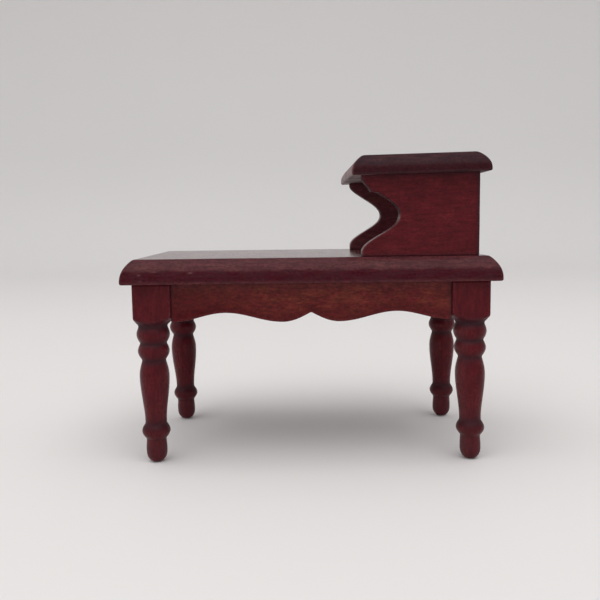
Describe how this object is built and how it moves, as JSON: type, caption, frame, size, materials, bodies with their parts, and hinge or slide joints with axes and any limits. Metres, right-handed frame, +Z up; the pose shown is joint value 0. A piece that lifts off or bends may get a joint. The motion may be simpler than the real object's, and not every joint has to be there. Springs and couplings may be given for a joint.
{
  "type": "dolls' house step table",
  "caption": "Dolls' house step table: a moulded lower top on turned legs with scalloped aprons, and a raised shelf on scroll-cut brackets at one end.",
  "frame": {"origin": "on the ground, under the middle of the lower top", "axes": "+X along the table towards the raised shelf, +Y to the rear, +Z up; -Y is the long side seen in the picture"},
  "size_m": [0.0604, 0.0356, 0.0499],
  "materials": {
    "top_wood": "dark red mahogany stain under satin lacquer",
    "shelf_wood": "dark red mahogany stain under satin lacquer",
    "leg_wood": "dark red mahogany stain, darker in the turned grooves, satin lacquer",
    "apron_wood": "red-brown mahogany stain under satin lacquer",
    "bracket_wood": "dark red mahogany stain under satin lacquer"
  },
  "bodies": {
    "root": {"lower_top": "top_wood", "raised_shelf": "shelf_wood", "leg_front_left": "leg_wood", "leg_front_right": "leg_wood", "leg_rear_left": "leg_wood", "leg_rear_right": "leg_wood", "apron_front": "apron_wood", "apron_rear": "apron_wood", "apron_left": "apron_wood", "apron_right": "apron_wood", "bracket_front": "bracket_wood", "bracket_rear": "bracket_wood"}
  },
  "joints": []
}
